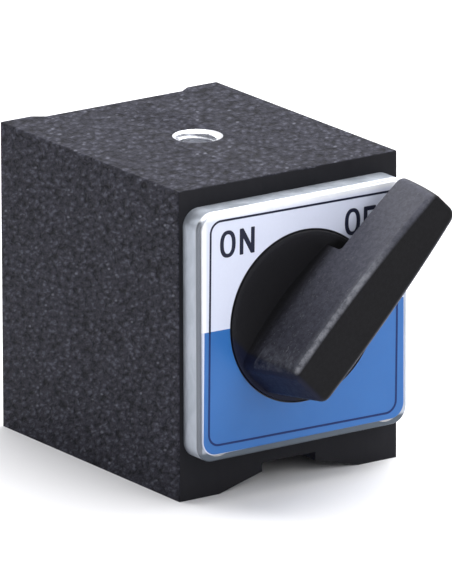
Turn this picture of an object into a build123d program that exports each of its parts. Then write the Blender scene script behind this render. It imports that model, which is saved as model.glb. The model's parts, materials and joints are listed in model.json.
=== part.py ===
from build123d import *
import os
from math import asin, degrees, tan, radians

# A switchable magnetic base. Two soft-iron pole blocks stand either side of
# non-magnetic spacers and are bored for a magnet rotor, which a lever
# knob on the front turns a quarter turn between OFF and ON. A stand, clamp or
# welding accessory screws into the thread on top.
#
# Frame: the origin is on the plane the base stands on, under the post thread.
# X runs left to right, +Y towards the back and +Z up. The knob is on the front.

# Block
block_width = 50.0
block_depth = 60.0
block_height = 60.5
block_edge_radius = 0.3

# Base groove, which seats a round bar between the two feet
foot_width = 9.0
groove_rise = 2.7
channel_half_width = 6.15
channel_depth = 4.4

# Relief down the back face, between the two back feet
back_foot_width = 6.6
back_relief_half_width = 15.7
back_relief_depth = 1.9

# Post thread, M8, as its tapping hole
thread_radius = 3.4
thread_mouth_radius = 4.8
thread_mouth_angle = 120.0
thread_depth = 9.0
drill_point_angle = 118.0

# Rivets through the poles and the spacer
rivet_radius = 2.0
rivet_y = 16.0
rivet_low_z = 11.4
rivet_high_z = 54.6

# Rotor bore, closed at the back by a wall that carries the rear bush
axis_z = 33.5
bore_radius = 15.2
bore_end_y = 22.3

# Gap around parts that pass each other without bearing on each other
loose_gap = 0.3

# Rear bearing
stub_radius = 4.0
stub_clearance = 0.05
bush_radius = 6.5
plug_thickness = 1.0
thrust_washer_radius = 9.0
thrust_washer_thickness = 1.0

# Rotor
rotor_radius = 14.95
rotor_front_y = -27.0
rotor_cap_thickness = 4.0
end_play = 0.15
magnet_width = 26.0
magnet_thickness = 9.0
magnet_count = 2
cap_screw_radius = 1.5
cap_screw_head_radius = 2.5
cap_screw_length = 10.0
cap_screw_x = 6.0
cap_screw_z = 9.8

# Drive key between the knob and the rotor
key_width = 5.0
key_length = 16.0
key_depth_in_knob = 2.0
key_depth_in_rotor = 2.5

# Front plate
plate_width = 48.0
plate_height = 48.5
plate_centre_z = 32.6
plate_thickness = 4.6
plate_corner_radius = 3.4
plate_edge_radius = 0.4
plate_screw_x = 19.2
plate_screw_z = 19.6
plate_screw_radius = 2.0
plate_screw_head_radius = 3.8
plate_screw_length = 12.0
plate_socket_width = 2.5
plate_socket_depth = 1.4

# Label on the front plate
label_width = 46.2
label_height = 46.7
label_centre_z = 33.0
label_thickness = 0.4
label_corner_radius = 2.9
label_edge_radius = 0.25
label_hole_gap = 0.25

# Knob: a dished round dial in the plate, with a fin that is the lever
lever_angle_off = 45.0
knob_turn = 90.0
dial_radius = 16.5
dial_clearance = 0.08
dial_proud = 0.25
dial_edge_radius = 0.25
dish_radius = 15.7
dish_depth = 2.0
flange_radius = 18.2
flange_thickness = 1.3
flange_gap = 0.15
wear_washer_thickness = 0.5
hub_radius = 10.5
lug_radius = 20.6
lug_half_width = 2.5

# Lever, along its own axis from the knob's centre
lever_front = 20.35
lever_tip = 30.9
lever_tail = -13.3
lever_half_width = 5.25
lever_widest_at = -1.0
lever_tip_half_width = 3.65
lever_side_draft = 1.0
lever_tip_draft = 5.0
lever_tip_bulge = 0.2
lever_tail_draft = 8.5
lever_underside = 9.1
lever_neck = 13.0
lever_neck_radius = 0.8
lever_root_height = 3.2
lever_corner_radius = 2.1
lever_edge_radius = 1.0

# Places worked out from the sizes above
front_y = -block_depth / 2
back_y = block_depth / 2
back_relief_y = back_y - back_relief_depth
plate_front_y = front_y - plate_thickness
label_front_y = plate_front_y - label_thickness
dial_front = plate_thickness + label_thickness + dial_proud
flange_back = wear_washer_thickness + flange_gap
flange_front = flange_back + flange_thickness
pocket_depth = flange_front + flange_gap
rotor_back_y = bore_end_y - thrust_washer_thickness - end_play
shoe_front_y = rotor_front_y + rotor_cap_thickness
shoe_back_y = rotor_back_y - rotor_cap_thickness
sides = (-1, 1)


def span_box(x_range, y_range, z_range):
    """Box between two values on each axis."""
    sizes = [high - low for low, high in (x_range, y_range, z_range)]
    middles = [(low + high) / 2 for low, high in (x_range, y_range, z_range)]
    return Pos(*middles) * Box(*sizes)


def cylinder_y(radius, front, back, x=0.0, z=axis_z):
    """Cylinder along Y."""
    return Pos(x, (front + back) / 2, z) * Rot(90, 0, 0) * Cylinder(radius, back - front)


def cylinder_x(radius, length, y, z):
    """Cylinder along X, centred on the YZ plane."""
    return Pos(0, y, z) * Rot(0, 90, 0) * Cylinder(radius, length)


def ring_y(outer, inner, front, back):
    """Washer or bush about the rotor's axis."""
    return cylinder_y(outer, front, back) - cylinder_y(inner, front - 1, back + 1)


def prism(points, plane, length):
    """Polygon extruded both ways from a plane."""
    return extrude(plane * make_face(Polyline(*points, close=True)), length, both=True)


def flat_head_screw(radius, head_radius, length):
    """Countersunk screw pointing along +Z, with its head's flat on Z = 0."""
    head_height = head_radius - radius
    head = Pos(0, 0, head_height / 2) * Cone(head_radius, radius, head_height)
    return head + Pos(0, 0, length / 2) * Cylinder(radius, length)


# ---------------------------------------------------------------- placements

def plate_screw_places():
    """Screws of the front plate, heads at the plate's front, pointing back."""
    return [
        Pos(sx * plate_screw_x, plate_front_y, plate_centre_z + sz * plate_screw_z) * Rot(-90, 0, 0)
        for sx in sides
        for sz in sides
    ]


def rotor_screw_places(y, turn):
    """Screws of one rotor cap, pointing into the rotor."""
    return [
        Pos(sx * cap_screw_x, y, axis_z + sz * cap_screw_z) * Rot(turn, 0, 0)
        for sx in sides
        for sz in sides
    ]


def knob_location():
    """The knob's own frame: x along the lever, z out of the front face."""
    lever_up = Rot(0, -lever_angle_off, 0)
    return Pos(0, front_y, axis_z) * lever_up * Rot(90, 0, 0)


# ------------------------------------------------------------------ the block

def whole_block():
    """Outside of the poles and spacer together, before the block is divided."""
    body = span_box((-block_width / 2, block_width / 2), (front_y, back_y), (0, block_height))
    outer_edges = body.edges().filter_by(Axis.Z) + body.faces().sort_by(Axis.Z)[-1].edges()
    body = fillet(outer_edges, block_edge_radius)

    foot_inside = block_width / 2 - foot_width
    groove = [
        (-foot_inside, 0),
        (-channel_half_width, groove_rise),
        (-channel_half_width, channel_depth),
        (channel_half_width, channel_depth),
        (channel_half_width, groove_rise),
        (foot_inside, 0),
        (foot_inside, -1),
        (-foot_inside, -1),
    ]
    body = body - prism(groove, Plane.XZ, block_depth)

    shoulder = block_width / 2 - back_foot_width
    relief = [
        (-shoulder, back_y),
        (-back_relief_half_width, back_relief_y),
        (back_relief_half_width, back_relief_y),
        (shoulder, back_y),
        (shoulder, back_y + 1),
        (-shoulder, back_y + 1),
    ]
    return body - prism(relief, Plane.XY, 2 * block_height)


def cone_between(low_radius, high_radius, low_z, high_z):
    """Cone on the Z axis between two heights."""
    return Pos(0, 0, (low_z + high_z) / 2) * Cone(low_radius, high_radius, high_z - low_z)


def thread_hole():
    """Tapping hole of the post thread, with its countersunk mouth and drill point."""
    mouth_height = (thread_mouth_radius - thread_radius) / tan(radians(thread_mouth_angle / 2))
    point_height = thread_radius / tan(radians(drill_point_angle / 2))
    bottom = block_height - thread_depth
    mouth = cone_between(thread_radius, thread_mouth_radius, block_height - mouth_height, block_height)
    wall = Pos(0, 0, block_height - thread_depth / 2) * Cylinder(thread_radius, thread_depth)
    point = cone_between(0, thread_radius, bottom - point_height, bottom)
    return mouth + wall + point


def rivet(y, z):
    return cylinder_x(rivet_radius, block_width, y, z)


def all_rivets():
    return [rivet(y, z) for y in (-rivet_y, rivet_y) for z in (rivet_low_z, rivet_high_z)]


def block_pieces():
    """Left pole, right pole, and the spacers above and below the bore."""
    block = whole_block()
    block = block - cylinder_y(bore_radius, front_y - 1, bore_end_y)
    block = block - cylinder_y(bush_radius, bore_end_y - 1, back_y)
    block = block - thread_hole()
    for piece in all_rivets():
        block = block - piece
    for place in plate_screw_places():
        block = block - place * Pos(0, 0, plate_screw_length / 2) * Cylinder(
            plate_screw_radius, plate_screw_length
        )

    beyond = block_width
    y_range = (-beyond, beyond)
    z_range = (-beyond, 2 * beyond)
    left = block & span_box((-beyond, -channel_half_width), y_range, z_range)
    right = block & span_box((channel_half_width, beyond), y_range, z_range)
    middle = block & span_box((-channel_half_width, channel_half_width), y_range, z_range)
    lower, upper = middle.solids().sort_by(Axis.Z)
    return left, right, upper, lower


# ------------------------------------------------------------ plate and label

def pocket_sector():
    """Space behind the plate that the knob's stop lug swings in."""
    lug_half_angle = degrees(asin(lug_half_width / flange_radius))
    gap_angle = degrees(loose_gap / flange_radius)
    half_sweep = knob_turn / 2 + lug_half_angle + gap_angle
    return CenterArc((0, 0), lug_radius + loose_gap, -90 - half_sweep, 2 * half_sweep)


def front_plate():
    outline = RectangleRounded(plate_width, plate_height, plate_corner_radius)
    plane = Plane(origin=(0, front_y, plate_centre_z), x_dir=(1, 0, 0), z_dir=(0, -1, 0))
    plate = extrude(plane * outline, plate_thickness)
    plate = fillet(plate.faces().sort_by(Axis.Y)[0].edges(), plate_edge_radius)
    plate = plate - cylinder_y(dial_radius + dial_clearance, plate_front_y - 1, front_y + 1)
    plate = plate - cylinder_y(flange_radius + loose_gap, front_y - pocket_depth, front_y)

    arc = pocket_sector()
    sector = make_face([Line((0, 0), arc @ 0), arc, Line(arc @ 1, (0, 0))])
    knob_plane = Plane(origin=(0, front_y, axis_z), x_dir=(1, 0, 0), z_dir=(0, -1, 0))
    plate = plate - extrude(knob_plane * sector, pocket_depth)

    for place in plate_screw_places():
        plate = plate - place * flat_head_screw(
            plate_screw_radius, plate_screw_head_radius, plate_screw_length
        )
    return plate


def plate_screws():
    """Four flat-head socket screws that the label hides."""
    socket = extrude(RegularPolygon(plate_socket_width / 2, 6, major_radius=False), plate_socket_depth)
    screw = flat_head_screw(plate_screw_radius, plate_screw_head_radius, plate_screw_length) - socket
    return Compound(children=[place * screw for place in plate_screw_places()])


def plate_label():
    plane = Plane(origin=(0, plate_front_y, label_centre_z), x_dir=(1, 0, 0), z_dir=(0, -1, 0))
    label = extrude(plane * RectangleRounded(label_width, label_height, label_corner_radius), label_thickness)
    label = fillet(label.faces().sort_by(Axis.Y)[0].edges(), label_edge_radius)
    return label - cylinder_y(dial_radius + label_hole_gap, label_front_y - 1, plate_front_y + 1)


# ----------------------------------------------------------------- the bearing

def rear_bush():
    end = back_relief_y - plug_thickness
    return ring_y(bush_radius, stub_radius + stub_clearance, bore_end_y, end)


def rear_plug():
    return cylinder_y(bush_radius, back_relief_y - plug_thickness, back_relief_y)


def rear_thrust_washer():
    front = bore_end_y - thrust_washer_thickness
    return ring_y(thrust_washer_radius, stub_radius + loose_gap, front, bore_end_y)


def front_wear_washer():
    return ring_y(flange_radius, bore_radius, front_y - wear_washer_thickness, front_y)


# ------------------------------------------------------------------- the rotor

def magnet_blocks():
    """Ferrite blocks in line, magnetised through their thickness."""
    length = (shoe_back_y - shoe_front_y) / magnet_count
    magnets = []
    for index in range(magnet_count):
        start = shoe_front_y + index * length
        magnets.append(
            span_box(
                (-magnet_width / 2, magnet_width / 2),
                (start, start + length),
                (axis_z - magnet_thickness / 2, axis_z + magnet_thickness / 2),
            )
        )
    return Compound(children=magnets)


def cap_screw_set(y, turn):
    screw = flat_head_screw(cap_screw_radius, cap_screw_head_radius, cap_screw_length)
    return [place * screw for place in rotor_screw_places(y, turn)]


def rotor_screws():
    """Screws of the front cap and of the rear cap."""
    return cap_screw_set(rotor_front_y, -90), cap_screw_set(rotor_back_y, 90)


def pole_shoe(side):
    """Soft-iron segment above or below the magnets."""
    body = cylinder_y(rotor_radius, shoe_front_y, shoe_back_y)
    near = axis_z + side * magnet_thickness / 2
    far = axis_z + side * 2 * rotor_radius
    half = span_box(
        (-2 * rotor_radius, 2 * rotor_radius),
        (front_y, back_y),
        (min(near, far), max(near, far)),
    )
    shoe = body & half
    front_screws, rear_screws = rotor_screws()
    for screw in front_screws + rear_screws:
        shoe = shoe - screw
    return shoe


def drive_key():
    """Flat steel key, along the lever, let into the knob's hub and the front cap."""
    key = span_box(
        (-key_length / 2, key_length / 2),
        (-key_width / 2, key_width / 2),
        (front_y - rotor_front_y - key_depth_in_rotor, front_y - rotor_front_y + key_depth_in_knob),
    )
    return knob_location() * key


def rotor_front_cap():
    cap = cylinder_y(rotor_radius, rotor_front_y, shoe_front_y)
    for screw in rotor_screws()[0]:
        cap = cap - screw
    return cap - drive_key()


def rotor_rear_cap():
    cap = cylinder_y(rotor_radius, shoe_back_y, rotor_back_y)
    for screw in rotor_screws()[1]:
        cap = cap - screw
    return cap - rear_stub()


def rear_stub():
    """Steel stub shaft pressed into the rear cap and turning in the bush."""
    stub_end = back_relief_y - plug_thickness - loose_gap
    return cylinder_y(stub_radius, shoe_back_y, stub_end)


# -------------------------------------------------------------------- the knob

def lever_plan():
    """Lever seen from the front: two long bowed flanks and square ends."""
    reach = lever_front - lever_root_height
    draft = reach * tan(radians(lever_side_draft))
    ends = (lever_tail - 4, lever_tip + 3)

    def half_width(along):
        bow = (lever_half_width - lever_tip_half_width) / (lever_tip - lever_widest_at) ** 2
        return lever_half_width + draft - bow * (along - lever_widest_at) ** 2

    tail, tip = ((end, half_width(end)) for end in ends)
    widest = (lever_widest_at, half_width(lever_widest_at))
    upper = ThreePointArc(tip, widest, tail)
    lower = mirror(upper, Plane.XZ)
    tail_line = Line(upper @ 1, lower @ 1)
    tip_line = Line(lower @ 0, upper @ 0)
    return make_face([upper, tail_line, lower, tip_line])


def lever_side():
    """Lever seen from its flank: raked ends, and an underside clear of the plate."""
    sunk = flange_front
    tip_foot = lever_tip + (lever_front - lever_underside) * tan(radians(lever_tip_draft))
    tail_foot = lever_tail - (lever_front - sunk) * tan(radians(lever_tail_draft))
    tail_low = (tail_foot, sunk)
    tail_top = (lever_tail, lever_front)
    tip_top = (lever_tip, lever_front)
    tip_low = (tip_foot, lever_underside)
    neck = (lever_neck, lever_underside)
    root = (lever_neck, sunk)
    outline = [
        Line(tail_low, tail_top),
        Line(tail_top, tip_top),
        SagittaArc(tip_top, tip_low, lever_tip_bulge),
        Line(tip_low, neck),
        Line(neck, root),
        Line(root, tail_low),
    ]
    side = make_face(outline)
    corner = side.vertices().sort_by_distance(neck)[0]
    return fillet(corner, lever_neck_radius)


def lever_fin():
    up = (0, 0, 1)
    plan = Pos(0, 0, lever_root_height) * lever_plan()
    bowed = extrude(plan, lever_front, dir=up, taper=lever_side_draft)
    bowed = bowed + extrude(lever_plan(), lever_root_height, dir=up)
    fin = bowed & extrude(Plane.XZ * lever_side(), block_width, both=True)
    upright = fin.edges().filter_by(lambda e: abs(e.tangent_at(0.5).Z) > 0.9)
    ends = upright.group_by(Axis.X)
    fin = fillet(ends[0] + ends[-1], lever_corner_radius)
    return fillet(fin.faces().sort_by(Axis.Z)[-1].edges(), lever_edge_radius)


def stop_lug():
    """Tab on the flange that meets the ends of the pocket at OFF and at ON."""
    tab = span_box((0, 2 * lug_radius), (-lug_half_width, lug_half_width), (flange_back, flange_front))
    limit = Pos(0, 0, (flange_back + flange_front) / 2) * Cylinder(lug_radius, flange_thickness)
    return Rot(0, 0, 180) * (tab & limit)


def knob():
    """Moulded knob: hub, flange with its lug, dished dial and lever."""
    def disc(radius, back, front):
        return Pos(0, 0, (back + front) / 2) * Cylinder(radius, front - back)

    hub_back = front_y - rotor_front_y
    sphere_radius = (dish_radius**2 + dish_depth**2) / (2 * dish_depth)
    dial = disc(dial_radius, flange_back, dial_front)
    dial = fillet(dial.faces().sort_by(Axis.Z)[-1].edges(), dial_edge_radius)
    dial = dial - Pos(0, 0, dial_front - dish_depth + sphere_radius) * Sphere(sphere_radius)
    body = dial + disc(flange_radius, flange_back, flange_front)
    body = body + disc(hub_radius, hub_back, flange_back) + stop_lug() + lever_fin()
    return knob_location() * body - drive_key()


# ---------------------------------------------------------------------- export

def all_parts():
    left, right, upper_spacer, lower_spacer = block_pieces()
    front_screws, rear_screws = rotor_screws()
    return {
        "left_pole_block": left,
        "right_pole_block": right,
        "upper_spacer": upper_spacer,
        "lower_spacer": lower_spacer,
        "pole_rivets": Compound(children=all_rivets()),
        "front_plate": front_plate(),
        "plate_screws": plate_screws(),
        "plate_label": plate_label(),
        "front_wear_washer": front_wear_washer(),
        "rear_bush": rear_bush(),
        "rear_thrust_washer": rear_thrust_washer(),
        "rear_plug": rear_plug(),
        "magnet_blocks": magnet_blocks(),
        "upper_pole_shoe": pole_shoe(1),
        "lower_pole_shoe": pole_shoe(-1),
        "rotor_front_cap": rotor_front_cap(),
        "rotor_rear_cap": rotor_rear_cap(),
        "front_cap_screws": Compound(children=front_screws),
        "rear_cap_screws": Compound(children=rear_screws),
        "rear_stub": rear_stub(),
        "drive_key": drive_key(),
        "knob": knob(),
    }


os.makedirs("parts", exist_ok=True)
for name, shape in all_parts().items():
    export_step(shape, f"parts/{name}.step")
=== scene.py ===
import json
import math

import bmesh
import bpy
from mathutils import Matrix, Vector


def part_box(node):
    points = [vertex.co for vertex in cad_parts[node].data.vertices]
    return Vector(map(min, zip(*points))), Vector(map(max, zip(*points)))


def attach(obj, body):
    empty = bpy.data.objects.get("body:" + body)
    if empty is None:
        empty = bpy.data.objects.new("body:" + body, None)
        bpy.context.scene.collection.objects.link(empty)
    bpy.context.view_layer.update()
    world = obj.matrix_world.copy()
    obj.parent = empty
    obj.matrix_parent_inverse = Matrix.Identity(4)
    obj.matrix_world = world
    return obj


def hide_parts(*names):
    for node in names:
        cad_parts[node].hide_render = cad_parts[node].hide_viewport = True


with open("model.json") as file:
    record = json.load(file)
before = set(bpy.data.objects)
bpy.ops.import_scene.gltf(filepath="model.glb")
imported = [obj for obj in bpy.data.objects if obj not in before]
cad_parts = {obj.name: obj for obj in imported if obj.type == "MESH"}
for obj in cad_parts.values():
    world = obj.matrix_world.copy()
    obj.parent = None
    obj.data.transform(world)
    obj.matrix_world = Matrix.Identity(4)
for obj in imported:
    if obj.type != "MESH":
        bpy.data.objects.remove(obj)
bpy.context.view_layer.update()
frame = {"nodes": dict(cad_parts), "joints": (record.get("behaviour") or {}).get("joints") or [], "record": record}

MM = 0.001


def mm(*values):
    """Vector given in millimetres."""
    return Vector(values) * MM


# Places read from the frame
BLOCK_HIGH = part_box("right_pole_block")[1]
PLATE_LOW, PLATE_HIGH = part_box("front_plate")
LABEL_LOW, LABEL_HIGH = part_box("plate_label")
KNOB_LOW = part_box("knob")[0]
AXIS = Vector(frame["joints"][0]["pos_m"])
THREAD = {mount["name"]: mount for mount in frame["record"]["mounts"]}["top_thread"]
THREAD_RADIUS = THREAD["dims"]["r_mm"] * MM

BACK_Y = BLOCK_HIGH.y
TOP_Z = BLOCK_HIGH.z
LEVER_FRONT = AXIS.y - KNOB_LOW.y
LABEL_FRONT = LABEL_LOW.y

# The post thread, M8 with its usual pitch. In its last turn the groove's middle is
# FIRST_TURN_DEPTH under the top face where its angle from the X axis is FIRST_TURN_ANGLE.
THREAD_PITCH = 1.25 * MM
THREAD_OUTSIDE = 4.0 * MM
THREAD_TURNS = 7
FIRST_TURN_DEPTH = 0.84 * MM
FIRST_TURN_ANGLE = math.radians(55.4)
GROOVE_HALF_MOUTH = 0.50 * MM
GROOVE_HALF_ROOT = 0.13 * MM
MOUTH_RADIUS = 4.8 * MM
MOUTH_REACH = 14.0 * MM

# The wrinkle paint. Its wrinkles lie along WRINKLE_TURN, from the Y axis towards X. The short
# and long factors scale the pattern's coordinates across and along that lay, so the smaller one
# draws it out more, and the lean shears the pattern downwards as it goes back.
WRINKLE_TURN = math.radians(34.6)
WRINKLE_SHORT = 0.72
WRINKLE_LONG = 0.40
WRINKLE_LEAN = 0.24
WRINKLE_SIZE = 0.88 * MM
WRINKLE_DEPTH = 0.16 * MM

# The lever's half width just behind its front edge: widest a little below the axis, and
# slimmer by LEVER_BOW times the square of the distance from there, in metres
LEVER_WIDEST = -1.0 * MM
LEVER_HALF_WIDTH = 5.26 * MM
LEVER_BOW = 1.57
LEVER_TAIL = -13.2 * MM

# The label's print, which was stuck on turned a little clockwise
PRINT_TURN = math.radians(0.80)
PRINT_X = 0.02 * MM
PRINT_Z = 33.01 * MM
SPLIT_UP = 0.56 * MM
FIELD_SHIFT = 0.33 * MM
FIELD_HALF_WIDTH = 23.0 * MM
FIELD_HALF_HEIGHT = 23.5 * MM
FIELD_CORNER = 2.9 * MM
FRAME_HALF_WIDTH = 21.45 * MM
FRAME_HALF_HEIGHT = 21.76 * MM
FRAME_CORNER = 2.3 * MM
FRAME_LINE = 0.42 * MM
INK_PROUD = 0.03 * MM
INK_SUNK = 0.03 * MM

# The lettering, in the print's own directions
LETTER_HEIGHT = 5.05 * MM
LETTER_STROKE = 0.83 * MM
LETTER_SOFTNESS = 0.14 * MM
LETTER_BASE = 14.56 * MM
O_OVERSHOOT = 0.10 * MM
O_WIDTH = 3.52 * MM
N_WIDTH = 3.38 * MM
F_WIDTH = 2.75 * MM
ON_LEFT_EDGES = (-19.30 * MM, -14.84 * MM)
OFF_LEFT_EDGES = (9.16 * MM, 13.50 * MM, 17.10 * MM)

# Blends on the plate: how far in from an edge, or out from the axis, each starts and is full. They place the rims'
# painted dark reflections and painted highlight, and the painted shade round the hole.
LEFT_RIM = (1.25 * MM, 0.95 * MM)
FOOT_RIM = (2.2 * MM, 1.5 * MM)
TOP_RIM = (1.6 * MM, 1.1 * MM)
PLATE_HOLE = (17.2 * MM, 16.9 * MM)

# Blends on the label, in the same way: for the painted highlight along its upper left margin and the painted shade
# round its hole
LABEL_HIGHLIGHT_MARGIN = (1.5 * MM, 0.3 * MM)
LABEL_HOLE = (16.92 * MM, 16.78 * MM)

# Blends on the knob, each from none to full. OUT is out from the lever's front edge, BACK is
# negative behind its front face, and ALONG is from the turning axis towards the tip.
# The first blends below place worn edges that also carry a painted highlight; the FLANK ones place the flanks'
# painted light.
RUB_SHEEN_OUT = (-0.95 * MM, -0.20 * MM)
RUB_SHEEN_HALO_BACK = (-2.6 * MM, -0.6 * MM)
RUB_SHEEN_CORE_BACK = (-1.25 * MM, -0.80 * MM)
RUB_SHEEN_TIP_ALONG = (20.0 * MM, 8.0 * MM)
RUB_SHEEN_ACROSS = (-2.0 * MM, 2.0 * MM)
TAIL_SHEEN_PATCH_ALONG = (-7.5 * MM, -12.0 * MM)
TAIL_SHEEN_PATCH_OUT = (-0.75 * MM, -0.35 * MM)
TAIL_SHEEN_PATCH_BACK = (-0.6 * MM, -2.5 * MM)
FLANK_OUT = (-1.10 * MM, -0.15 * MM)
FLANK_FORWARD = (4.5 * MM, 9.0 * MM)
FLANK_ALONG = (-13.3 * MM, -11.6 * MM)
FLANK_SHADING_ALONG = (-10.0 * MM, 14.0 * MM)
DIAL_FORWARD = 6.0 * MM
LEVER_FORWARD = 8.0 * MM

# Colours in linear light. A pair is a pattern's first and last colour.
# The wrinkle paint's pit, tip and speck greys are painted shade, a painted highlight and painted glints.
PIT_SHADE_GREYS = ((0.0060, 0.0060, 0.0088), (0.0115, 0.0115, 0.0160))
WRINKLE_GREY = (0.0510, 0.0515, 0.0690)
WRINKLE_TIP_HIGHLIGHT_GREY = (0.078, 0.080, 0.102)
GLINT_SPECK_GREY = (0.115, 0.118, 0.145)
FRONT_BLACKS = ((0.015, 0.015, 0.0178), (0.020, 0.020, 0.0232))
GROUND_STEELS = ((0.24, 0.245, 0.26), (0.44, 0.445, 0.465))
STAIN_BROWN = (0.20, 0.19, 0.18)
PLATED_WHITES = ((0.70, 0.71, 0.75), (0.88, 0.89, 0.93))
PLATE_GREYS = ((0.375, 0.412, 0.466), (0.465, 0.503, 0.562))
# The plate's left and lower rim greys are painted dark reflections, and its upper rim white is a painted
# highlight.
LEFT_RIM_DARK_REFLECTION_GREY = (0.17, 0.185, 0.21)
TOP_RIM_HIGHLIGHT_WHITE = (0.93, 0.95, 0.98)
FOOT_RIM_DARK_REFLECTION_GREY = (0.10, 0.12, 0.145)
# Painted shade in the gap round the knob's hole.
PLATE_GAP_SHADE_BLACK = (0.03, 0.03, 0.035)
CAP_GREY = (0.50, 0.51, 0.53)
TURNED_GREY = (0.36, 0.36, 0.37)
BRONZE = (0.50, 0.33, 0.16)
NYLONS = ((0.62, 0.60, 0.54), (0.70, 0.68, 0.62))
FERRITES = ((0.016, 0.016, 0.017), (0.035, 0.034, 0.034))
PLASTIC_BLACKS = ((0.0045, 0.0045, 0.0055), (0.0075, 0.0076, 0.009))
DIAL_BLACK = (0.013, 0.013, 0.015)
# The flank greys are painted light: dimmer low down, brighter towards the tip.
FLANK_DIM_LIT_GREYS = ((0.025, 0.0255, 0.0335), (0.045, 0.046, 0.060))
FLANK_BRIGHT_LIT_GREYS = ((0.056, 0.057, 0.073), (0.088, 0.090, 0.113))
SCUFF_GREY = (0.120, 0.124, 0.138)
# The tail blue is a painted reflection of the blue label.
TAIL_LABEL_REFLECTION_BLUE = (0.009, 0.011, 0.026)
# The worn grey is wear and a painted highlight together.
WORN_HIGHLIGHT_GREY = (0.205, 0.212, 0.235)
LABEL_WHITES = ((0.620, 0.660, 0.795), (0.655, 0.695, 0.835))
LABEL_BLUES = ((0.022, 0.125, 0.385), (0.030, 0.146, 0.430))
# The margin white is a painted highlight along the label's upper left.
MARGIN_HIGHLIGHT_WHITE = (0.89, 0.91, 0.96)
# Painted shade in the gap round the label's hole.
LABEL_GAP_SHADE_BLACK = (0.02, 0.02, 0.026)
INKS_OVER_WHITE = ((0.006, 0.008, 0.024), (0.012, 0.015, 0.038))
INKS_OVER_BLUE = ((0.005, 0.020, 0.105), (0.009, 0.030, 0.140))
FLOOR_WHITES = ((0.84, 0.84, 0.85), (0.87, 0.87, 0.88))
SKY_BRIGHT = (0.95, 0.95, 0.98)
SKY_DIM = (0.12, 0.12, 0.125)
SKY_LEFT = (0.10, 0.10, 0.105)


# -------------------------------------------------------------- node helpers

def new_material(name):
    """Material with an empty node tree, its Principled shader and its output joined."""
    material = bpy.data.materials.new(name)
    material.use_nodes = True
    tree = material.node_tree
    tree.nodes.clear()
    output = tree.nodes.new("ShaderNodeOutputMaterial")
    shader = tree.nodes.new("ShaderNodeBsdfPrincipled")
    tree.links.new(shader.outputs["BSDF"], output.inputs["Surface"])
    return material, tree, shader


def put(tree, socket, value):
    """Links a socket to another node's output, or sets it to a plain value."""
    if isinstance(value, bpy.types.NodeSocket):
        tree.links.new(value, socket)
    elif isinstance(value, (tuple, list)) and socket.type == "RGBA" and len(value) == 3:
        socket.default_value = (*value, 1.0)
    else:
        socket.default_value = value


def math_node(tree, operation, *values):
    """Result of one operation on numbers or on other nodes' outputs."""
    node = tree.nodes.new("ShaderNodeMath")
    node.operation = operation
    for socket, value in zip(node.inputs, values):
        put(tree, socket, value)
    return node.outputs[0]


def add(tree, first, *others):
    for other in others:
        first = math_node(tree, "ADD", first, other)
    return first


def times(tree, first, *others):
    for other in others:
        first = math_node(tree, "MULTIPLY", first, other)
    return first


def minus(tree, first, second):
    return math_node(tree, "SUBTRACT", first, second)


def larger(tree, first, second):
    return math_node(tree, "MAXIMUM", first, second)


def smaller(tree, first, second):
    return math_node(tree, "MINIMUM", first, second)


def less(tree, first, second):
    """1 where first is less than second, else 0."""
    return math_node(tree, "LESS_THAN", first, second)


def more(tree, first, second):
    """1 where first is more than second, else 0."""
    return math_node(tree, "GREATER_THAN", first, second)


def absolute(tree, value):
    return math_node(tree, "ABSOLUTE", value)


def reach(tree, first, second):
    """Distance from the origin to a point given by two coordinates."""
    return math_node(tree, "SQRT", add(tree, times(tree, first, first), times(tree, second, second)))


def from_axis(tree, x, z):
    """Distance from the knob's axis."""
    return reach(tree, x, minus(tree, z, AXIS.z))


def smooth_step(tree, value, low, high):
    """0 before low, 1 beyond high, smooth between. low may be the larger."""
    node = tree.nodes.new("ShaderNodeMapRange")
    node.interpolation_type = "SMOOTHSTEP"
    put(tree, node.inputs["Value"], value)
    node.inputs["From Min"].default_value = min(low, high)
    node.inputs["From Max"].default_value = max(low, high)
    if low > high:
        node.inputs["To Min"].default_value = 1.0
        node.inputs["To Max"].default_value = 0.0
    return node.outputs[0]


def remap(tree, value, low, high, to_low, to_high):
    """Straight-line change of range, held at its two ends."""
    node = tree.nodes.new("ShaderNodeMapRange")
    put(tree, node.inputs["Value"], value)
    for name, number in zip(("From Min", "From Max", "To Min", "To Max"), (low, high, to_low, to_high)):
        node.inputs[name].default_value = number
    return node.outputs[0]


def follow(tree, pattern, to_low, to_high):
    """Range that follows a noise pattern, whose values mostly lie between 0.3 and 0.7."""
    return remap(tree, pattern, 0.3, 0.7, to_low, to_high)


def mix_colour(tree, factor, first, second):
    """First colour where the factor is 0, second where it is 1."""
    node = tree.nodes.new("ShaderNodeMix")
    node.data_type = "RGBA"
    # The colour sockets of this node come after its number and vector ones
    for socket, value in zip((node.inputs[0], node.inputs[6], node.inputs[7]), (factor, first, second)):
        put(tree, socket, value)
    return node.outputs[2]


def mix_number(tree, factor, first, second):
    """First number where the factor is 0, second where it is 1."""
    node = tree.nodes.new("ShaderNodeMix")
    node.data_type = "FLOAT"
    # The number sockets of this node come after its two factors
    for socket, value in zip((node.inputs[0], node.inputs[2], node.inputs[3]), (factor, first, second)):
        put(tree, socket, value)
    return node.outputs[0]


def object_coords(tree):
    """Position on the object at rest, in metres."""
    return tree.nodes.new("ShaderNodeTexCoord").outputs["Object"]


def place(tree):
    """Position on the object at rest, and its three parts, in metres."""
    coords = object_coords(tree)
    split = tree.nodes.new("ShaderNodeSeparateXYZ")
    tree.links.new(coords, split.inputs[0])
    return coords, split.outputs[0], split.outputs[1], split.outputs[2]


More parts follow.
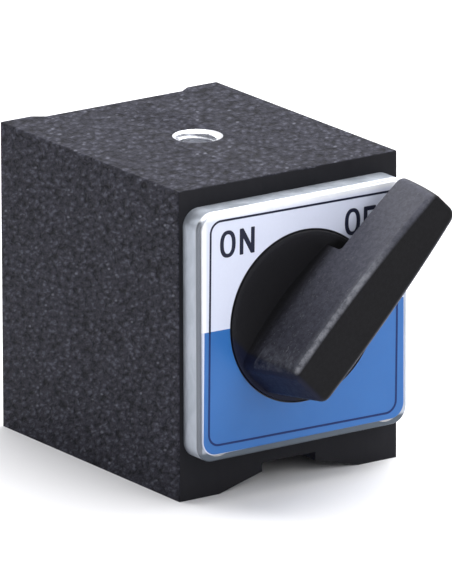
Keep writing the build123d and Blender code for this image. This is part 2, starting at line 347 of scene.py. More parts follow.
def stretched(tree, coords, scale):
    """Coordinates for a pattern that is drawn out along the axes with a scale below 1."""
    node = tree.nodes.new("ShaderNodeVectorMath")
    node.operation = "MULTIPLY"
    put(tree, node.inputs[0], coords)
    node.inputs[1].default_value = scale
    return node.outputs[0]


def wrinkle_places(tree, x, y, z):
    """Coordinates in which the paint's wrinkles run a little longer one way than the others."""
    cosine, sine = math.cos(WRINKLE_TURN), math.sin(WRINKLE_TURN)
    short_way = minus(tree, times(tree, x, cosine), times(tree, y, sine))
    long_way = add(tree, times(tree, x, sine), times(tree, y, cosine))
    node = tree.nodes.new("ShaderNodeCombineXYZ")
    put(tree, node.inputs[0], times(tree, short_way, WRINKLE_SHORT))
    put(tree, node.inputs[1], times(tree, long_way, WRINKLE_LONG))
    put(tree, node.inputs[2], add(tree, z, times(tree, y, WRINKLE_LEAN)))
    return node.outputs[0]


def noise(tree, coords, size, detail=3.0, roughness=0.55, distortion=0.0):
    """Noise whose blobs are about size metres across."""
    node = tree.nodes.new("ShaderNodeTexNoise")
    put(tree, node.inputs["Vector"], coords)
    node.inputs["Scale"].default_value = 1.0 / size
    node.inputs["Detail"].default_value = detail
    node.inputs["Roughness"].default_value = roughness
    node.inputs["Distortion"].default_value = distortion
    return node.outputs[0]


def cells(tree, coords, size, feature="F1"):
    """Distance from the middle of each cell, and a number that each cell has to itself."""
    node = tree.nodes.new("ShaderNodeTexVoronoi")
    node.feature = feature
    put(tree, node.inputs["Vector"], coords)
    node.inputs["Scale"].default_value = 1.0 / size
    if feature == "SMOOTH_F1":
        node.inputs["Smoothness"].default_value = 0.35
    split = tree.nodes.new("ShaderNodeSeparateXYZ")
    tree.links.new(node.outputs["Color"], split.inputs[0])
    return node.outputs["Distance"], split.outputs[0]


def bump(tree, height, distance):
    """Normal of a surface whose relief is the height times the distance."""
    node = tree.nodes.new("ShaderNodeBump")
    put(tree, node.inputs["Height"], height)
    node.inputs["Distance"].default_value = distance
    return node.outputs[0]


def facing_back_and_up(tree):
    """How far the surface faces +Y and +Z. For pieces on the base only, since it turns with a piece."""
    geometry = tree.nodes.new("ShaderNodeNewGeometry")
    split = tree.nodes.new("ShaderNodeSeparateXYZ")
    tree.links.new(geometry.outputs["Normal"], split.inputs[0])
    return split.outputs[1], split.outputs[2]


# ----------------------------------------------------------- block materials

def bare_places(tree, coords, x, y, z, facing_y, facing_z):
    """1 on the ground working faces, and 1 inside the thread's mouth."""
    foot_height = 3.0 * MM
    back_start = BACK_Y - 0.2 * MM
    straight = 0.9
    foot = times(tree, less(tree, facing_z, -straight), less(tree, z, foot_height))
    back = times(tree, more(tree, facing_y, straight), more(tree, y, back_start))
    wobble = times(tree, noise(tree, coords, size=0.8 * MM, detail=2.0), 0.16 * MM)
    inside = less(tree, add(tree, reach(tree, x, y), wobble), MOUTH_RADIUS + 0.10 * MM)
    mouth = times(tree, inside, more(tree, z, TOP_Z - MOUTH_REACH))
    return larger(tree, foot, back), mouth


def wrinkle_height(tree, drawn_out, crinkle):
    """Relief of the paint: rounded lumps, crinkles over them and a fine grain."""
    lumps = cells(tree, drawn_out, size=WRINKLE_SIZE, feature="SMOOTH_F1")[0]
    fine = noise(tree, drawn_out, size=0.40 * MM, detail=2.0)
    return add(tree, times(tree, lumps, -0.7), times(tree, crinkle, 1.6), times(tree, fine, 0.5))


def wrinkle_paint(tree, coords, x, y, z):
    """Colour, relief and roughness of the paint: lumps, painted shade in the pits, painted highlights on the tips,
    and a few bright specks that are painted glints.
    """
    drawn_out = wrinkle_places(tree, x, y, z)
    crinkle = noise(tree, drawn_out, size=WRINKLE_SIZE, detail=3.0, roughness=0.6, distortion=0.9)
    height = wrinkle_height(tree, drawn_out, crinkle)
    broad = noise(tree, coords, size=5.0 * MM)
    spot, chosen = cells(tree, drawn_out, size=1.1 * MM)

    # Painted shade in the relief's hollows, a painted highlight on its tips, and bright specks as painted glints.
    pits = mix_colour(tree, broad, *PIT_SHADE_GREYS)
    swell = remap(tree, height, 0.35, 1.15, 0.0, 1.0)
    colour = mix_colour(tree, swell, pits, WRINKLE_GREY)
    tip_highlight = smooth_step(tree, height, 0.80, 1.25)
    colour = mix_colour(tree, tip_highlight, colour, WRINKLE_TIP_HIGHLIGHT_GREY)
    speck = times(tree, smooth_step(tree, spot, 0.34, 0.10), smooth_step(tree, chosen, 0.80, 0.97))
    colour = mix_colour(tree, speck, colour, GLINT_SPECK_GREY)
    return colour, height, follow(tree, crinkle, 0.46, 0.62)


def smooth_black(tree, coords):
    """Colour and pattern of the front's smooth paint, with a faint brushed-on unevenness."""
    faint = noise(tree, stretched(tree, coords, (1, 1, 0.25)), size=1.2 * MM)
    return mix_colour(tree, faint, *FRONT_BLACKS), faint


def bare_metal(tree, coords):
    """Ground steel with a few stains, the mouth's bright plating, and the scratches over both."""
    drawn_out = stretched(tree, coords, (0.06, 1, 1))
    scratches = noise(tree, drawn_out, size=0.16 * MM, detail=4.0, roughness=0.7)
    stains = noise(tree, coords, size=7.0 * MM, detail=4.0, roughness=0.6)
    steel = mix_colour(tree, scratches, *GROUND_STEELS)
    steel = mix_colour(tree, smooth_step(tree, stains, 0.52, 0.75), steel, STAIN_BROWN)
    plated = mix_colour(tree, scratches, *PLATED_WHITES)
    return steel, plated, scratches


def block_material():
    """Wrinkle paint on the top and sides, smooth black front, bare metal where it works."""
    material, tree, shader = new_material("block_paint")
    coords, x, y, z = place(tree)
    facing_y, facing_z = facing_back_and_up(tree)
    front = less(tree, facing_y, -0.8)
    ground, mouth = bare_places(tree, coords, x, y, z, facing_y, facing_z)
    bare = larger(tree, ground, mouth)
    wrinkled = minus(tree, 1.0, larger(tree, front, bare))
    paint, height, paint_rough = wrinkle_paint(tree, coords, x, y, z)
    black, faint = smooth_black(tree, coords)
    steel, plated, scratches = bare_metal(tree, coords)

    colour = mix_colour(tree, front, paint, black)
    colour = mix_colour(tree, ground, colour, steel)
    put(tree, shader.inputs["Base Color"], mix_colour(tree, mouth, colour, plated))
    put(tree, shader.inputs["Metallic"], add(tree, ground, times(tree, mouth, 0.96)))
    rough = mix_number(tree, front, paint_rough, follow(tree, faint, 0.46, 0.54))
    metal_rough = follow(tree, scratches, 0.24, 0.40)
    put(tree, shader.inputs["Roughness"], mix_number(tree, bare, rough, metal_rough))
    shader.inputs["Specular IOR Level"].default_value = 0.05

    relief = times(tree, height, wrinkled)
    grinding = times(tree, scratches, bare, 0.08)
    front_grain = times(tree, faint, front, 0.05)
    total = add(tree, relief, grinding, front_grain)
    put(tree, shader.inputs["Normal"], bump(tree, total, distance=WRINKLE_DEPTH))
    return material


# ----------------------------------------------------------- metal materials

def cast_pattern(tree, coords):
    """The way cast metal has flowed, drawn out upwards."""
    drawn_out = stretched(tree, coords, (1, 1, 0.45))
    return noise(tree, drawn_out, size=3.2 * MM, detail=4.0, roughness=0.6, distortion=0.5)


def plate_rims(tree, x, y, z, flow):
    """1 along the left, the lower and the upper rim of the plate's front, ragged by the flow: where the painted
    dark reflections and the painted highlight go.
    """
    ragged = times(tree, minus(tree, flow, 0.5), 0.5 * MM)
    from_left = add(tree, minus(tree, x, PLATE_LOW.x), ragged)
    from_foot = add(tree, minus(tree, z, PLATE_LOW.z), ragged)
    from_top = add(tree, minus(tree, PLATE_HIGH.z, z), ragged)
    face = smooth_step(tree, y, PLATE_LOW.y + 0.50 * MM, PLATE_LOW.y + 0.25 * MM)
    left = times(tree, smooth_step(tree, from_left, *LEFT_RIM), face)
    foot = times(tree, smooth_step(tree, from_foot, *FOOT_RIM), face)
    top = times(tree, smooth_step(tree, from_top, *TOP_RIM), face)
    return left, foot, top


def plate_material():
    """Satin die-cast zinc: a painted highlight along its upper rim, painted dark reflections along the left and
    lower ones, and painted shade round the knob's hole.
    """
    material, tree, shader = new_material("plate_zinc")
    coords, x, y, z = place(tree)
    flow = cast_pattern(tree, coords)
    grain = noise(tree, coords, size=0.30 * MM, roughness=0.6)
    left, foot, top = plate_rims(tree, x, y, z, flow)
    # Painted shade in the gap between the plate and the dial.
    plate_gap_shade = smooth_step(tree, from_axis(tree, x, z), *PLATE_HOLE)

    streaks = smooth_step(tree, flow, 0.35, 0.65)
    colour = mix_colour(tree, streaks, *PLATE_GREYS)
    # Painted dark reflections on the left and lower rims, and a painted highlight on the upper rim.
    colour = mix_colour(tree, left, colour, LEFT_RIM_DARK_REFLECTION_GREY)
    colour = mix_colour(tree, top, colour, TOP_RIM_HIGHLIGHT_WHITE)
    colour = mix_colour(tree, foot, colour, FOOT_RIM_DARK_REFLECTION_GREY)
    put(tree, shader.inputs["Base Color"], mix_colour(tree, plate_gap_shade, colour, PLATE_GAP_SHADE_BLACK))
    shader.inputs["Metallic"].default_value = 0.55
    shader.inputs["Specular IOR Level"].default_value = 0.3
    put(tree, shader.inputs["Roughness"], follow(tree, flow, 0.40, 0.54))
    height = add(tree, times(tree, flow, 0.6), times(tree, grain, 0.3))
    put(tree, shader.inputs["Normal"], bump(tree, height, distance=0.06 * MM))
    return material


def zinc_material(name, tint):
    """Satin die-cast zinc with a faint flow pattern."""
    material, tree, shader = new_material(name)
    coords = object_coords(tree)
    flow = cast_pattern(tree, coords)
    grain = noise(tree, coords, size=0.22 * MM, roughness=0.6)
    darker = tuple(part * 0.80 for part in tint)
    colour = mix_colour(tree, smooth_step(tree, flow, 0.35, 0.65), darker, tint)
    put(tree, shader.inputs["Base Color"], colour)
    shader.inputs["Metallic"].default_value = 1.0
    put(tree, shader.inputs["Roughness"], follow(tree, flow, 0.34, 0.48))
    height = add(tree, times(tree, flow, 0.6), times(tree, grain, 0.25))
    put(tree, shader.inputs["Normal"], bump(tree, height, distance=0.05 * MM))
    return material


def turned_material(name, tint=TURNED_GREY, rough=0.30):
    """Turned metal with fine tool rings about the rotor's axis. Steel, unless another tint is given."""
    material, tree, shader = new_material(name)
    coords = object_coords(tree)
    rings = noise(tree, stretched(tree, coords, (0.1, 1, 0.1)), size=0.12 * MM, roughness=0.6)
    stains = noise(tree, coords, size=4.0 * MM, detail=4.0, roughness=0.6)
    dark = tuple(part * 0.6 for part in tint)
    colour = mix_colour(tree, smooth_step(tree, stains, 0.4, 0.75), tint, dark)
    put(tree, shader.inputs["Base Color"], colour)
    shader.inputs["Metallic"].default_value = 1.0
    put(tree, shader.inputs["Roughness"], follow(tree, rings, rough - 0.06, rough + 0.10))
    put(tree, shader.inputs["Normal"], bump(tree, rings, distance=0.01 * MM))
    return material


# ---------------------------------------------------------- inside materials

def nylon_material():
    """Natural nylon, cloudy, with a fine moulded grain."""
    material, tree, shader = new_material("washer_nylon")
    coords = object_coords(tree)
    grain = noise(tree, coords, size=0.3 * MM, roughness=0.6)
    blotch = noise(tree, coords, size=3.5 * MM, detail=4.0, roughness=0.6)
    cloudy = smooth_step(tree, blotch, 0.3, 0.7)
    put(tree, shader.inputs["Base Color"], mix_colour(tree, cloudy, *NYLONS))
    put(tree, shader.inputs["Roughness"], follow(tree, blotch, 0.45, 0.56))
    put(tree, shader.inputs["Normal"], bump(tree, grain, distance=0.01 * MM))
    return material


def ferrite_material():
    """Dark sintered ferrite with a ground, slightly pitted skin."""
    material, tree, shader = new_material("ferrite")
    coords = object_coords(tree)
    pits = cells(tree, coords, size=0.7 * MM)[0]
    mottle = noise(tree, coords, size=1.5 * MM, detail=4.0, roughness=0.6)
    colour = mix_colour(tree, mottle, *FERRITES)
    put(tree, shader.inputs["Base Color"], colour)
    put(tree, shader.inputs["Roughness"], follow(tree, mottle, 0.5, 0.7))
    put(tree, shader.inputs["Normal"], bump(tree, pits, distance=0.03 * MM))
    return material


# ------------------------------------------------------------- knob material

def lever_places(tree, x, y, z):
    """Position along the lever, out to its upper left side and forward, in metres at rest."""
    height = minus(tree, z, AXIS.z)
    diagonal = math.sqrt(0.5)
    along = times(tree, add(tree, height, x), diagonal)
    across = times(tree, minus(tree, height, x), diagonal)
    forward = minus(tree, AXIS.y, y)
    return along, across, forward


def beyond_edge(tree, along, across):
    """Distance out from the lever's front edge, negative on its front face."""
    from_widest = minus(tree, along, LEVER_WIDEST)
    bow = times(tree, from_widest, from_widest, -LEVER_BOW)
    half_width = add(tree, bow, LEVER_HALF_WIDTH)
    return minus(tree, absolute(tree, across), half_width)


def edge_wear_and_highlight(tree, along, out, back):
    """The worn, polished line along the lever's front edge, with a painted highlight: a bright core in a dimmer
    halo.
    """
    near_side = smooth_step(tree, out, *RUB_SHEEN_OUT)
    halo = times(tree, smooth_step(tree, back, *RUB_SHEEN_HALO_BACK), 0.40)
    core = smooth_step(tree, back, *RUB_SHEEN_CORE_BACK)
    fading_to_tip = smooth_step(tree, along, *RUB_SHEEN_TIP_ALONG)
    above_tail = smooth_step(tree, along, LEVER_TAIL, LEVER_TAIL + 1.0 * MM)
    return times(tree, larger(tree, halo, core), near_side, fading_to_tip, above_tail)


def tail_wear_and_highlight(tree, along, out, forward, back):
    """The softer worn patch on the flank round the lever's tail, with a painted highlight."""
    towards_tail = smooth_step(tree, along, *TAIL_SHEEN_PATCH_ALONG)
    on_flank = smooth_step(tree, out, *TAIL_SHEEN_PATCH_OUT)
    behind_edge = smooth_step(tree, back, *TAIL_SHEEN_PATCH_BACK)
    off_the_dial = more(tree, forward, LEVER_FORWARD)
    return times(tree, towards_tail, on_flank, behind_edge, off_the_dial)


def knob_wear_and_highlight(tree, coords, along, out, across, forward):
    """Where hands have polished the knob, with a painted highlight there too: along the lever's front edges and
    round its tail.
    """
    back = minus(tree, forward, LEVER_FRONT)
    broken = noise(tree, coords, size=1.3 * MM, detail=4.0, roughness=0.7)
    edge_patches = remap(tree, broken, 0.34, 0.62, 0.15, 1.0)
    tail_patches = remap(tree, broken, 0.36, 0.70, 0.0, 0.24)
    edge = times(tree, edge_wear_and_highlight(tree, along, out, back), edge_patches)
    tail = times(tree, tail_wear_and_highlight(tree, along, out, forward, back), tail_patches)
    upper_side = smooth_step(tree, across, *RUB_SHEEN_ACROSS)
    strength = remap(tree, upper_side, 0.0, 1.0, 0.35, 1.0)
    return times(tree, larger(tree, edge, tail), strength)


def plastic_colour(tree, forward, mottle):
    """Near-black plastic, a little lighter on the dial than on the lever."""
    dial = less(tree, forward, DIAL_FORWARD)
    mottled = smooth_step(tree, mottle, 0.35, 0.70)
    colour = mix_colour(tree, mottled, *PLASTIC_BLACKS)
    return mix_colour(tree, dial, colour, DIAL_BLACK)


def flank_lit_colour(tree, along, mottle):
    """Painted light on the lever's flanks: a lit grey, lighter towards the tip."""
    mottled = smooth_step(tree, mottle, 0.30, 0.70)
    low_end = mix_colour(tree, mottled, *FLANK_DIM_LIT_GREYS)
    tip_end = mix_colour(tree, mottled, *FLANK_BRIGHT_LIT_GREYS)
    return mix_colour(tree, smooth_step(tree, along, *FLANK_SHADING_ALONG), low_end, tip_end)


def knob_material():
    """Near-black moulded plastic: fine grain, flanks in painted light with scuffs, worn front edges with a painted
    highlight, and a painted reflection of the label on the tail's end.
    """
    material, tree, shader = new_material("knob_plastic")
    coords, x, y, z = place(tree)
    along, across, forward = lever_places(tree, x, y, z)
    out = beyond_edge(tree, along, across)
    grain = noise(tree, coords, size=0.28 * MM, roughness=0.6)
    mottle = noise(tree, coords, size=0.9 * MM, detail=4.0, roughness=0.65, distortion=0.6)
    cloud = noise(tree, coords, size=4.5 * MM)

    # The flanks are painted lighter than the front face, as painted light.
    flank = times(tree, smooth_step(tree, out, *FLANK_OUT),
                  smooth_step(tree, forward, *FLANK_FORWARD),
                  smooth_step(tree, along, *FLANK_ALONG))
    drawn_out = stretched(tree, coords, (1.0, 1.0, 0.55))
    scuff_shape = noise(tree, drawn_out, size=0.9 * MM, roughness=0.7, distortion=1.5)
    scuffs = times(tree, smooth_step(tree, scuff_shape, 0.58, 0.74), flank)
    # The tail's end gets a painted reflection of the blue label.
    tail_end_reflection = smooth_step(tree, along, LEVER_TAIL + 1.0 * MM, LEVER_TAIL)
    # Worn edges and tail, with a painted highlight on them.
    wear_and_highlight = knob_wear_and_highlight(tree, coords, along, out, across, forward)

    plastic = plastic_colour(tree, forward, mottle)
    colour = mix_colour(tree, flank, plastic, flank_lit_colour(tree, along, mottle))
    colour = mix_colour(tree, scuffs, colour, SCUFF_GREY)
    colour = mix_colour(tree, tail_end_reflection, colour, TAIL_LABEL_REFLECTION_BLUE)
    put(tree, shader.inputs["Base Color"], mix_colour(tree, wear_and_highlight, colour, WORN_HIGHLIGHT_GREY))
    put(tree, shader.inputs["Roughness"], add(tree, follow(tree, mottle, 0.38, 0.54),
                                              times(tree, cloud, 0.08)))
    shader.inputs["Specular IOR Level"].default_value = 0.10
    height = add(tree, times(tree, grain, 0.5), times(tree, mottle, 0.9, flank), times(tree, mottle, 0.25))
    put(tree, shader.inputs["Normal"], bump(tree, height, distance=0.05 * MM))
    return material


# ----------------------------------------------------------- label materials

def print_places(tree, x, z):
    """Position to the right of and above the print's middle, turned with the print."""
    cosine, sine = math.cos(PRINT_TURN), math.sin(PRINT_TURN)
    from_x = minus(tree, x, PRINT_X)
    from_z = minus(tree, z, PRINT_Z)
    right = minus(tree, times(tree, from_x, cosine), times(tree, from_z, sine))
    up = add(tree, times(tree, from_z, cosine), times(tree, from_x, sine))
    return right, up


def from_field_edge(tree, right, up):
    """Distance out from the printed field's rounded edge, negative inside."""
    beyond_x = minus(tree, absolute(tree, right), FIELD_HALF_WIDTH - FIELD_CORNER)
    beyond_z = minus(tree, absolute(tree, up), FIELD_HALF_HEIGHT - FIELD_CORNER)
    outer = reach(tree, larger(tree, beyond_x, 0.0), larger(tree, beyond_z, 0.0))
    inner = smaller(tree, larger(tree, beyond_x, beyond_z), 0.0)
    return minus(tree, add(tree, outer, inner), FIELD_CORNER)


def label_colour(tree, x, z, speckle, cloud):
    """White over blue, white at the left half's cut edge, and a painted highlight along the upper left."""
    right, up = print_places(tree, minus(tree, x, FIELD_SHIFT), z)
    past_field = smooth_step(tree, from_field_edge(tree, right, up), -0.03 * MM, 0.03 * MM)
    cut_edge = times(tree, past_field, less(tree, x, 0.0))
    upper = smooth_step(tree, up, SPLIT_UP - 0.03 * MM, SPLIT_UP + 0.04 * MM)
    white = mix_colour(tree, speckle, *LABEL_WHITES)
    blue = mix_colour(tree, cloud, *LABEL_BLUES)
    colour = mix_colour(tree, larger(tree, upper, cut_edge), blue, white)
    from_left = minus(tree, x, LABEL_LOW.x)
    from_top = minus(tree, LABEL_HIGH.z, z)
    # Painted highlight along the label's top and left margins.
    margin_highlight = smooth_step(tree, smaller(tree, from_left, from_top), *LABEL_HIGHLIGHT_MARGIN)
    return mix_colour(tree, times(tree, margin_highlight, upper), colour, MARGIN_HIGHLIGHT_WHITE)


def label_material():
    """Printed label under a clear gloss film, with a line of painted shade round the knob's hole."""
    material, tree, shader = new_material("label_print")
    coords, x, _, z = place(tree)
    speckle = noise(tree, coords, size=0.5 * MM, detail=2.0)
    cloud = noise(tree, coords, size=9.0 * MM)
    colour = label_colour(tree, x, z, speckle, cloud)
    # Painted shade in the gap between the label and the dial.
    label_gap_shade = smooth_step(tree, from_axis(tree, x, z), *LABEL_HOLE)
    put(tree, shader.inputs["Base Color"], mix_colour(tree, label_gap_shade, colour, LABEL_GAP_SHADE_BLACK))
    shader.inputs["Specular IOR Level"].default_value = 0.2
    shader.inputs["Coat Weight"].default_value = 0.3
    shader.inputs["Coat Roughness"].default_value = 0.2
    put(tree, shader.inputs["Roughness"], follow(tree, speckle, 0.38, 0.46))
    put(tree, shader.inputs["Normal"], bump(tree, cloud, distance=0.03 * MM))
    return material


def ink_material():
    """Dark navy printing ink, slightly uneven, bluer on the label's blue half."""
    material, tree, shader = new_material("print_ink")
    coords, _, _, z = place(tree)
    cover = noise(tree, coords, size=0.6 * MM)
    over_white = mix_colour(tree, cover, *INKS_OVER_WHITE)
    over_blue = mix_colour(tree, cover, *INKS_OVER_BLUE)
    low_half = less(tree, z, PRINT_Z + SPLIT_UP)
    put(tree, shader.inputs["Base Color"], mix_colour(tree, low_half, over_white, over_blue))
    shader.inputs["Specular IOR Level"].default_value = 0.2
    put(tree, shader.inputs["Roughness"], follow(tree, cover, 0.38, 0.46))
    return material


# -------------------------------------------------------------- mesh helpers

def give(piece, material):
    """One material on the whole piece."""
    piece.data.materials.clear()
    piece.data.materials.append(material)


def piece_from(mesh, name, body):
    """Links a finished mesh as a piece that rides on a CAD body."""
    piece = bpy.data.objects.new(name, mesh)
    bpy.context.scene.collection.objects.link(piece)
    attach(piece, body)
    return piece


def finished(sketch, name):
    """Turns a bmesh into a mesh with every face pointing outwards."""
    bmesh.ops.recalc_face_normals(sketch, faces=sketch.faces)
    mesh = bpy.data.meshes.new(name)
    sketch.to_mesh(mesh)
    sketch.free()
    return mesh


def band(sketch, first, second):
    """Faces between two closed loops of the same number of points."""
    count = len(first)
    for i in range(count):
        j = (i + 1) % count
        sketch.faces.new((first[i], first[j], second[j], second[i]))


# ----------------------------------------------------------------- the print

def print_point(right, up, proud):
    """Point of the print, in front of the label's face by proud."""
    cosine, sine = math.cos(PRINT_TURN), math.sin(PRINT_TURN)
    return Vector((PRINT_X + right * cosine + up * sine,
                   LABEL_FRONT - proud,
                   PRINT_Z - right * sine + up * cosine))


def ink_loops(sketch, outline):
    """An outline's points on the ink's face and just under the label's."""
    face = [sketch.verts.new(print_point(right, up, INK_PROUD)) for right, up in outline]
    root = [sketch.verts.new(print_point(right, up, -INK_SUNK)) for right, up in outline]
    return face, root


def ink_shape(sketch, outline):
    """Closed flat solid of ink with one outline."""
    face, root = ink_loops(sketch, outline)
    sketch.faces.new(face)
    sketch.faces.new(root)
    band(sketch, face, root)


def ink_ring(sketch, outer, inner):
    """Closed flat solid of ink between two outlines."""
    outer_face, outer_root = ink_loops(sketch, outer)
    inner_face, inner_root = ink_loops(sketch, inner)
    band(sketch, outer_face, inner_face)
    band(sketch, outer_root, inner_root)
    band(sketch, outer_face, outer_root)
    band(sketch, inner_face, inner_root)


def rounded_rectangle(half_width, half_height, radius, steps=10):
    """Outline about the origin, with each corner an arc of steps lines."""
    points = []
    for corner, (side, level) in enumerate(((1, 1), (-1, 1), (-1, -1), (1, -1))):
        for step in range(steps + 1):
            angle = math.radians(90 * (corner + step / steps))
            points.append((side * (half_width - radius) + radius * math.cos(angle),
                           level * (half_height - radius) + radius * math.sin(angle)))
    return points


def rounded(points, radius, steps=3):
    """Outline with each of its corners softened."""
    result = []
    for i, point in enumerate(points):
        corner = Vector(point)
        before = Vector(points[i - 1]) - corner
        after = Vector(points[(i + 1) % len(points)]) - corner
        start = corner + before.normalized() * radius
        end = corner + after.normalized() * radius
        for step in range(steps + 1):
            t = step / steps
            result.append(tuple(start * (1 - t) ** 2 + corner * 2 * t * (1 - t) + end * t ** 2))
    return result


def oval(centre, half_width, half_height, steps=48):
    """Upright oval, a little squarer than an ellipse."""
    squareness = 0.86
    points = []
    for step in range(steps):
        angle = 2 * math.pi * step / steps
        cosine, sine = math.cos(angle), math.sin(angle)
        points.append((centre[0] + half_width * math.copysign(abs(cosine) ** squareness, cosine),
                       centre[1] + half_height * math.copysign(abs(sine) ** squareness, sine)))
    return points


def letter_o(sketch, left):
    """The letter O as a ring, a little thinner at its top and foot."""
    centre = (left + O_WIDTH / 2, LETTER_BASE + LETTER_HEIGHT / 2)
    half_height = LETTER_HEIGHT / 2 + O_OVERSHOOT
    thinning = 0.9
    outer = oval(centre, O_WIDTH / 2, half_height)
    inner = oval(centre, O_WIDTH / 2 - LETTER_STROKE, half_height - LETTER_STROKE * thinning)
    ink_ring(sketch, outer, inner)


def straight_letter(sketch, left, outline):
    """Letter of straight strokes, given from its own lower left corner."""
    moved = [(left + right, LETTER_BASE + up) for right, up in outline]
    ink_shape(sketch, rounded(moved, LETTER_SOFTNESS))


def letter_n(sketch, left):
    """The letter N: two uprights with a slanting stroke between them."""
    stroke, width, height = LETTER_STROKE, N_WIDTH, LETTER_HEIGHT
    meeting = 0.62 * height
    straight_letter(sketch, left, [
        (0, 0), (stroke, 0), (stroke, meeting), (width - stroke, 0), (width, 0),
        (width, height), (width - stroke, height), (width - stroke, height - meeting),
        (stroke, height), (0, height)])


def letter_f(sketch, left):
    """The letter F, with its lower bar a little shorter than the upper one."""
    stroke, width, height = LETTER_STROKE, F_WIDTH, LETTER_HEIGHT
    bar = 0.42 * height
    bar_width = 0.88 * width
    straight_letter(sketch, left, [
        (0, 0), (stroke, 0), (stroke, bar), (bar_width, bar), (bar_width, bar + stroke),
        (stroke, bar + stroke), (stroke, height - stroke), (width, height - stroke),
        (width, height), (0, height)])


def ink_piece(sketch, name, ink):
    """Finished piece of print, on the base with the label."""
    piece = piece_from(finished(sketch, name), name, "base")
    give(piece, ink)


def add_frame_line(ink):
    """The thin line with rounded corners round the label."""
    sketch = bmesh.new()
    half = FRAME_LINE / 2
    outer = rounded_rectangle(FRAME_HALF_WIDTH + half, FRAME_HALF_HEIGHT + half, FRAME_CORNER + half)
    inner = rounded_rectangle(FRAME_HALF_WIDTH - half, FRAME_HALF_HEIGHT - half, FRAME_CORNER - half)
    ink_ring(sketch, outer, inner)
    ink_piece(sketch, "print_frame_line", ink)


def add_word(name, letters, left_edges, ink):
    """One word, each of its letters drawn from its left edge."""
    sketch = bmesh.new()
    for letter, left in zip(letters, left_edges):
        letter(sketch, left)
    ink_piece(sketch, name, ink)


def add_print():
    """The frame line and the words on the label, as thin closed solids of ink."""
    ink = ink_material()
    add_frame_line(ink)
    add_word("print_on", (letter_o, letter_n), ON_LEFT_EDGES, ink)
    add_word("print_off", (letter_o, letter_f, letter_f), OFF_LEFT_EDGES, ink)


# ---------------------------------------------------------------- the thread

def thread_cutter():
    """Closed helical solid with the thread's groove as its section."""
    inner = THREAD_RADIUS - 0.25 * MM
    section = [(inner, -GROOVE_HALF_MOUTH), (THREAD_RADIUS, -GROOVE_HALF_MOUTH),
               (THREAD_OUTSIDE, -GROOVE_HALF_ROOT), (THREAD_OUTSIDE, GROOVE_HALF_ROOT),
               (THREAD_RADIUS, GROOVE_HALF_MOUTH), (inner, GROOVE_HALF_MOUTH)]
    steps_per_turn = 72
    turns_below = THREAD_TURNS - 1 + FIRST_TURN_ANGLE / (2 * math.pi)
    bottom = TOP_Z - FIRST_TURN_DEPTH - THREAD_PITCH * turns_below
    sketch = bmesh.new()
    loops = []
    for step in range(THREAD_TURNS * steps_per_turn + 1):
        angle = 2 * math.pi * step / steps_per_turn
        level = bottom + THREAD_PITCH * step / steps_per_turn
        loops.append([sketch.verts.new((radius * math.cos(angle), radius * math.sin(angle), level + rise))
                      for radius, rise in section])
    for first, second in zip(loops, loops[1:]):
        band(sketch, first, second)
    sketch.faces.new(loops[0])
    sketch.faces.new(loops[-1])
    return finished(sketch, "thread_cutter")


def spacer_blank():
    """The CAD's upper spacer as one joined mesh, with its plain tapping hole."""
    same_point = 0.0005 * MM
    sketch = bmesh.new()
    sketch.from_mesh(frame["nodes"]["upper_spacer"].data)
    bmesh.ops.remove_doubles(sketch, verts=sketch.verts, dist=same_point)
    return finished(sketch, "spacer_blank")


def threaded_spacer(material):
    """The upper spacer with its post thread cut into the tapping hole."""
    blank = bpy.data.objects.new("spacer_blank", spacer_blank())
    cutter = bpy.data.objects.new("thread_cutter", thread_cutter())
    for helper in (blank, cutter):
        bpy.context.scene.collection.objects.link(helper)
    cut = blank.modifiers.new("thread", "BOOLEAN")
    cut.operation = "DIFFERENCE"
    cut.solver = "EXACT"
    cut.object = cutter
    depsgraph = bpy.context.evaluated_depsgraph_get()
    mesh = bpy.data.meshes.new_from_object(blank.evaluated_get(depsgraph))
    mesh.name = "threaded_spacer"
    for helper in (blank, cutter):
        bpy.data.objects.remove(helper)
    sharp_edge = math.radians(28)
    mesh.shade_smooth()
    mesh.set_sharp_from_angle(angle=sharp_edge)
    piece = piece_from(mesh, "threaded_spacer", "base")
    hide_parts("upper_spacer")
    give(piece, material)


# --------------------------------------------------------------------- setup

def give_all(names, material):
    """One material on several CAD nodes."""
    for name in names:
        give(frame["nodes"][name], material)


def set_materials():
    """A material on every CAD node, and the threaded spacer in place of the plain one."""
    paint = block_material()
    give_all(("left_pole_block", "right_pole_block", "lower_spacer", "upper_spacer", "pole_rivets"), paint)
    give_all(("front_plate",), plate_material())
    give_all(("rotor_front_cap", "rotor_rear_cap"), zinc_material("cap_zinc", CAP_GREY))
    give_all(("plate_screws", "front_cap_screws", "rear_cap_screws", "rear_stub", "drive_key",
              "rear_plug", "upper_pole_shoe", "lower_pole_shoe"), turned_material("turned_steel"))
    give_all(("rear_bush",), turned_material("bush_bronze", BRONZE, rough=0.42))
    give_all(("front_wear_washer", "rear_thrust_washer"), nylon_material())
    give_all(("magnet_blocks",), ferrite_material())
    give_all(("plate_label",), label_material())
    give_all(("knob",), knob_material())
    threaded_spacer(paint)


def camera_turn(azimuth, elevation, roll):
    """Directions of a camera that looks at the object: its right, its up and its back."""
    back = Vector((math.sin(azimuth) * math.cos(elevation),
                   -math.cos(azimuth) * math.cos(elevation),
                   math.sin(elevation)))
    level_right = Vector((0, 0, 1)).cross(back).normalized()
    level_up = back.cross(level_right)
    right = math.cos(roll) * level_right + math.sin(roll) * level_up
    up = math.cos(roll) * level_up - math.sin(roll) * level_right
    return right, up, back


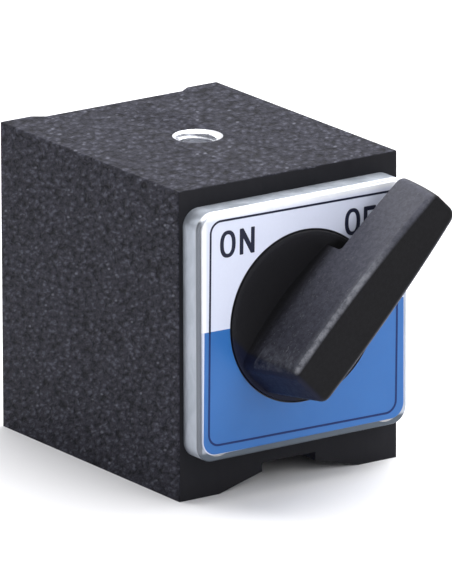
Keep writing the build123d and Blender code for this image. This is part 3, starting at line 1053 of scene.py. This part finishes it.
def add_camera():
    """Long lens from the front left, a little above."""
    azimuth = math.radians(-34.58)
    elevation = math.radians(16.38)
    roll = math.radians(-0.19)
    target = mm(6.4, 0.0, 28.6)
    distance = 2.239
    right, up, back = camera_turn(azimuth, elevation, roll)
    turn = Matrix((right, up, back)).transposed().to_4x4()
    camera = bpy.data.objects.new("camera", bpy.data.cameras.new("camera"))
    camera.data.lens = 725.0
    camera.data.sensor_width = 36.0
    camera.data.clip_end = 20.0
    camera.matrix_world = Matrix.Translation(target + distance * back) @ turn
    bpy.context.scene.collection.objects.link(camera)
    bpy.context.scene.camera = camera


def add_softbox(name, direction, distance, size, strength):
    """Rectangular light that faces the object. Its power is pi times its strength for each square metre."""
    aim = mm(0, 0, 30)
    towards = Vector(direction).normalized()
    light = bpy.data.lights.new(name, "AREA")
    light.shape = "RECTANGLE"
    light.size, light.size_y = size
    light.energy = strength * math.pi * size[0] * size[1]
    lamp = bpy.data.objects.new(name, light)
    lamp.location = aim + towards * distance
    lamp.rotation_euler = towards.to_track_quat("Z", "Y").to_euler()
    bpy.context.scene.collection.objects.link(lamp)


def floor_material():
    """Pale matt floor, faintly cloudy."""
    material, tree, shader = new_material("floor_white")
    cloud = noise(tree, object_coords(tree), size=0.4, detail=2.0)
    colour = mix_colour(tree, cloud, *FLOOR_WHITES)
    put(tree, shader.inputs["Base Color"], colour)
    put(tree, shader.inputs["Roughness"], follow(tree, cloud, 0.68, 0.74))
    shader.inputs["Specular IOR Level"].default_value = 0.1
    return material


def add_floor():
    """One large square under the object's feet."""
    half = 3.0
    corners = [(-half, -half, 0), (half, -half, 0), (half, half, 0), (-half, half, 0)]
    mesh = bpy.data.meshes.new("floor")
    mesh.from_pydata(corners, [], [(0, 1, 2, 3)])
    mesh.materials.append(floor_material())
    floor = bpy.data.objects.new("floor", mesh)
    bpy.context.scene.collection.objects.link(floor)


def add_surroundings():
    """Dim round the horizon and on the left, brighter behind and overhead."""
    world = bpy.data.worlds.new("studio")
    world.use_nodes = True
    tree = world.node_tree
    background = tree.nodes["Background"]
    direction = tree.nodes.new("ShaderNodeTexCoord").outputs["Generated"]
    split = tree.nodes.new("ShaderNodeSeparateXYZ")
    tree.links.new(direction, split.inputs[0])
    overhead = smooth_step(tree, split.outputs[2], 0.1, 0.7)
    behind = smooth_step(tree, split.outputs[1], 0.2, 0.7)
    low = mix_colour(tree, behind, SKY_DIM, SKY_BRIGHT)
    sky = mix_colour(tree, overhead, low, SKY_BRIGHT)
    on_left = smooth_step(tree, split.outputs[0], -0.10, -0.55)
    colour = mix_colour(tree, times(tree, on_left, 0.75), sky, SKY_LEFT)
    put(tree, background.inputs["Color"], colour)
    background.inputs["Strength"].default_value = 1.0
    bpy.context.scene.world = world


def add_studio():
    """Pale floor, and soft light mostly from above and behind."""
    add_floor()
    add_surroundings()
    add_softbox("top_light", (0.50, 0.08, 0.93), distance=1.5, size=(1.4, 1.6), strength=4.4)
    add_softbox("front_light", (0.20, -0.85, 0.48), distance=1.6, size=(1.2, 1.2), strength=1.9)
    add_softbox("back_light", (-0.28, 0.79, 0.54), distance=1.5, size=(1.0, 0.8), strength=4.5)
    bpy.context.scene.view_settings.view_transform = "Standard"


add_camera()
set_materials()
add_print()
add_studio()
